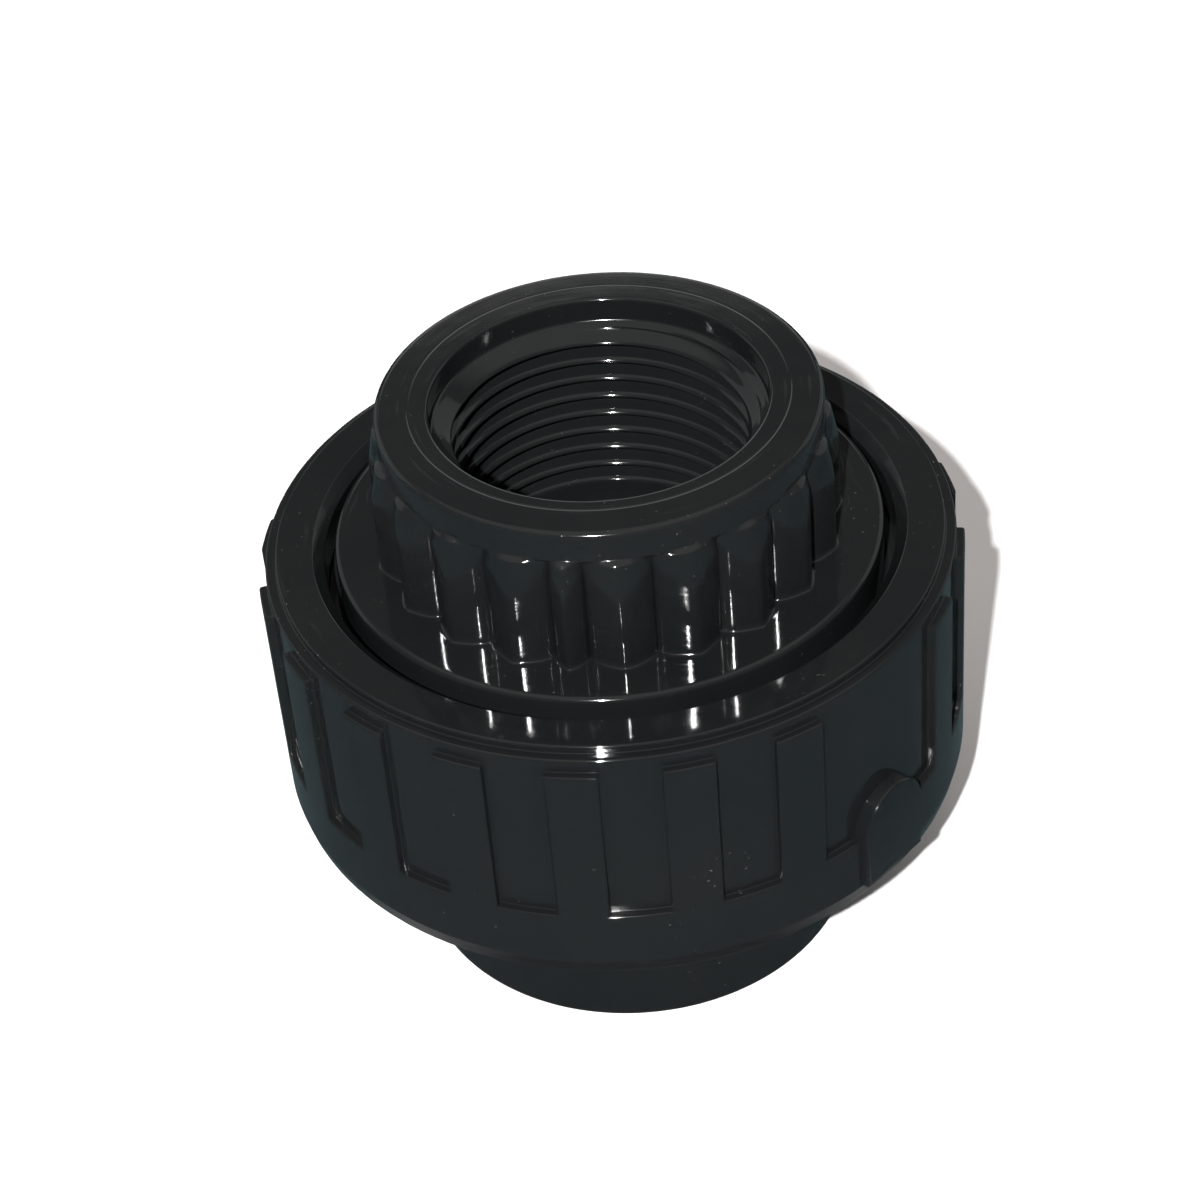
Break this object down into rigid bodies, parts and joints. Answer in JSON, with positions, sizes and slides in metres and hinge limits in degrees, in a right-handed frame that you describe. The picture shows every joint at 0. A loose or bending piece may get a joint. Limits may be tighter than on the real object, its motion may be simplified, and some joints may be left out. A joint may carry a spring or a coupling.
{
  "type": "pipe union",
  "caption": "Plastic pipe union: a ribbed end with a female pipe thread, held by a large screwed nut against an O-ring and a body with a plain solvent socket.",
  "frame": {"origin": "centre of the bounding box at the bottom, on the bore axis in the plane of the lower collar's end face", "axes": "+Z along the bore axis, from the socket end up to the threaded end; -Y is the front"},
  "size_m": [0.059, 0.059, 0.0523],
  "materials": {
    "socket_body": "moulded dark grey PVC, glossy",
    "o_ring": "smooth black rubber",
    "end_connector": "moulded dark grey PVC, glossy",
    "union_nut": "moulded dark grey PVC, glossy"
  },
  "bodies": {
    "socket_body": {"socket_body": "socket_body"},
    "o_ring": {"o_ring": "o_ring"},
    "end_connector": {"end_connector": "end_connector"},
    "union_nut": {"union_nut": "union_nut"}
  },
  "joints": [
    {"name": "joint_lift", "type": "slide", "parent": "socket_body", "child": "o_ring", "axis": [0, 0, 1], "range_m": [0, 0.012]},
    {"name": "connector_swivel", "type": "hinge", "parent": "o_ring", "child": "end_connector", "pos_m": [0, 0, 0.0416], "axis": [0, 0, 1], "continuous": true},
    {"name": "nut_turn", "type": "hinge", "parent": "o_ring", "child": "union_nut", "pos_m": [0, 0, 0.0277], "axis": [0, 0, 1], "range_deg": [0, 1080]}
  ],
  "couplings": [
    {"joint": "joint_lift", "follows": "nut_turn", "m_per_rad": 0.00063662}
  ]
}
